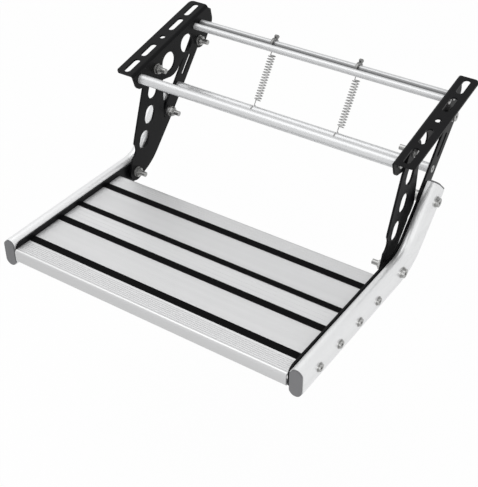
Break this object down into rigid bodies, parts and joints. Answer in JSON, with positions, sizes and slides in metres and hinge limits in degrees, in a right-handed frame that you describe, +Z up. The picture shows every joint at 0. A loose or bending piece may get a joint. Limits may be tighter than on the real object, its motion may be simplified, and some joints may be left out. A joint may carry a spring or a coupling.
{
  "type": "caravan entry step",
  "caption": "Folding caravan entry step: a ribbed aluminium tread on bent side rails, carried by steel four-bar arms under black flanged brackets.",
  "frame": {"origin": "midway between the two small flange holes, on the plane of the flanges' upper faces", "axes": "+X across the doorway, +Y back under the floor, +Z up against the chassis"},
  "size_m": [0.635, 0.6365, 0.2362],
  "materials": {
    "steel": "black satin powder coat",
    "aluminium": "natural satin anodised",
    "grip": "matt ribbed inlay",
    "cap": "fine grain grey moulding",
    "zinc": "bright zinc plate"
  },
  "bodies": {
    "base": {"left_bracket": "steel", "right_bracket": "steel", "front_cross_tube": "aluminium", "rear_cross_tube": "aluminium", "spring_bar": "aluminium", "bar_screws": "zinc", "upper_front_bolts": "zinc", "upper_rear_bolts": "zinc", "upper_front_nuts": "zinc", "upper_rear_nuts": "zinc"},
    "front_arms": {"left_front_arm": "steel", "right_front_arm": "steel"},
    "step": {"lower_front_nuts": "zinc", "left_rail": "aluminium", "right_rail": "aluminium", "left_side_plate": "steel", "right_side_plate": "steel", "left_front_cap": "cap", "right_front_cap": "cap", "left_top_cap": "cap", "right_top_cap": "cap", "tread": "aluminium", "grip_strip_1": "grip", "grip_strip_2": "grip", "grip_strip_3": "grip", "grip_strip_4": "grip", "tread_screws": "zinc", "lower_front_bolts": "zinc", "lower_rear_bolts": "zinc"},
    "rear_arms": {"left_rear_arm": "steel", "right_rear_arm": "steel", "arm_tube": "aluminium", "arm_tube_screws": "zinc", "lower_rear_nuts": "zinc"},
    "springs": {"left_spring": "zinc", "right_spring": "zinc"}
  },
  "joints": [
    {"name": "fold", "type": "hinge", "parent": "base", "child": "front_arms", "pos_m": [0, -0.0565, -0.0305], "axis": [1, 0, 0], "range_deg": [0, 89.6]},
    {"name": "rear_arms_turn", "type": "hinge", "parent": "base", "child": "rear_arms", "pos_m": [0, 0.08, -0.056], "axis": [1, 0, 0], "range_deg": [0, 139.2]},
    {"name": "step_turn", "type": "hinge", "parent": "front_arms", "child": "step", "pos_m": [0, -0.17208, -0.20463], "axis": [1, 0, 0], "range_deg": [-77.4, 0]},
    {"name": "springs_turn", "type": "hinge", "parent": "base", "child": "springs", "pos_m": [0, 0.096, -0.0265], "axis": [1, 0, 0], "range_deg": [0, 113.6], "deforming": ["left_spring", "right_spring"]}
  ],
  "couplings": [
    {"joint": "rear_arms_turn", "follows": "fold", "ratio": 1.5511},
    {"joint": "step_turn", "follows": "fold", "ratio": -0.86118},
    {"joint": "springs_turn", "follows": "fold", "ratio": 1.267}
  ]
}
